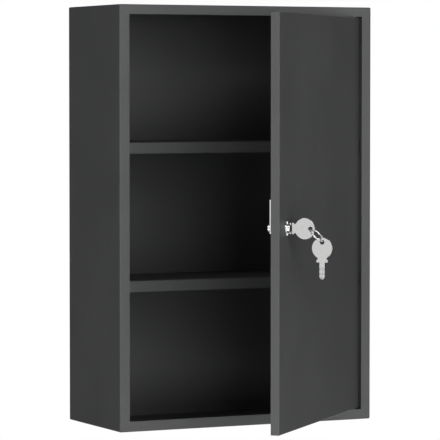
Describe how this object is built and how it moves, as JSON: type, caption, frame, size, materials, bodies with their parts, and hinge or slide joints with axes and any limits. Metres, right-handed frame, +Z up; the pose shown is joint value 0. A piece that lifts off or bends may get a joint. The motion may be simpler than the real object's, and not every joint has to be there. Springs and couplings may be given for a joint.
{
  "type": "wall cabinet",
  "caption": "Shallow sheet-steel wall cabinet with shelves behind a side-hung locking door, with a cam lock, a key in it and a spare on a wire ring.",
  "frame": {"origin": "centre of the four wall holes, on the cabinet's back face", "axes": "+Z up, -Y out of the front, +X to the right as one faces the cabinet; +Y points into the wall"},
  "size_m": [0.3, 0.342, 0.45],
  "materials": {
    "powder_coat": "anthracite powder coat, fine texture, low sheen",
    "zinc_steel": "bright zinc-plated steel",
    "chrome_plate": "polished chrome plate",
    "nickel_plate": "satin nickel plate",
    "steel_wire": "bright drawn wire",
    "brass": "stamped brass",
    "nylon": "black moulded nylon"
  },
  "bodies": {
    "cabinet": {"left_side": "powder_coat", "right_side": "powder_coat", "top_panel": "powder_coat", "bottom_panel": "powder_coat", "back_panel": "powder_coat", "upper_shelf": "powder_coat", "lower_shelf": "powder_coat", "upper_shelf_ledges": "powder_coat", "lower_shelf_ledges": "powder_coat", "upper_hinge_bracket": "powder_coat", "lower_hinge_bracket": "powder_coat", "door_stops": "powder_coat", "lock_strike": "powder_coat", "upper_hinge_pin": "zinc_steel", "lower_hinge_pin": "zinc_steel"},
    "door": {"door_panel": "powder_coat", "upper_hinge_bush": "nylon", "lower_hinge_bush": "nylon", "lock_barrel": "chrome_plate", "lock_nut": "zinc_steel"},
    "lock": {"lock_plug": "chrome_plate", "lock_cam": "zinc_steel", "cam_washer": "zinc_steel", "cam_screw": "zinc_steel"},
    "wafers": {"wafer_tumblers": "brass"},
    "key": {"key": "nickel_plate"},
    "ring": {"key_ring": "steel_wire"},
    "spare_key": {"spare_key": "nickel_plate"}
  },
  "joints": [
    {"name": "door_hinge", "type": "hinge", "parent": "cabinet", "child": "door", "pos_m": [0.13035, -0.1304, 0], "axis": [0, 0, 1], "range_deg": [-44.5, 70.5]},
    {"name": "lock_turn", "type": "hinge", "parent": "door", "child": "lock", "pos_m": [-0.04238, -0.3066, -0.0047], "axis": [0.7009, -0.7133, 0], "range_deg": [0, 90]},
    {"name": "wafer_travel", "type": "slide", "parent": "lock", "child": "wafers", "axis": [0, 0, 1], "range_m": [0, 0.0004]},
    {"name": "key_slide", "type": "slide", "parent": "lock", "child": "key", "axis": [0.7009, -0.7133, 0], "range_m": [0, 0.024]},
    {"name": "ring_swing", "type": "hinge", "parent": "key", "child": "ring", "pos_m": [-0.02358, -0.32573, -0.00561], "axis": [0.7133, 0.7009, 0], "range_deg": [-45, 27]},
    {"name": "spare_key_swing", "type": "hinge", "parent": "ring", "child": "spare_key", "pos_m": [-0.01555, -0.3339, -0.01678], "axis": [0.6884, 0.7254, 0], "range_deg": [-40, 18]}
  ],
  "couplings": [
    {"joint": "wafer_travel", "follows": "key_slide", "ratio": 0.016666}
  ]
}
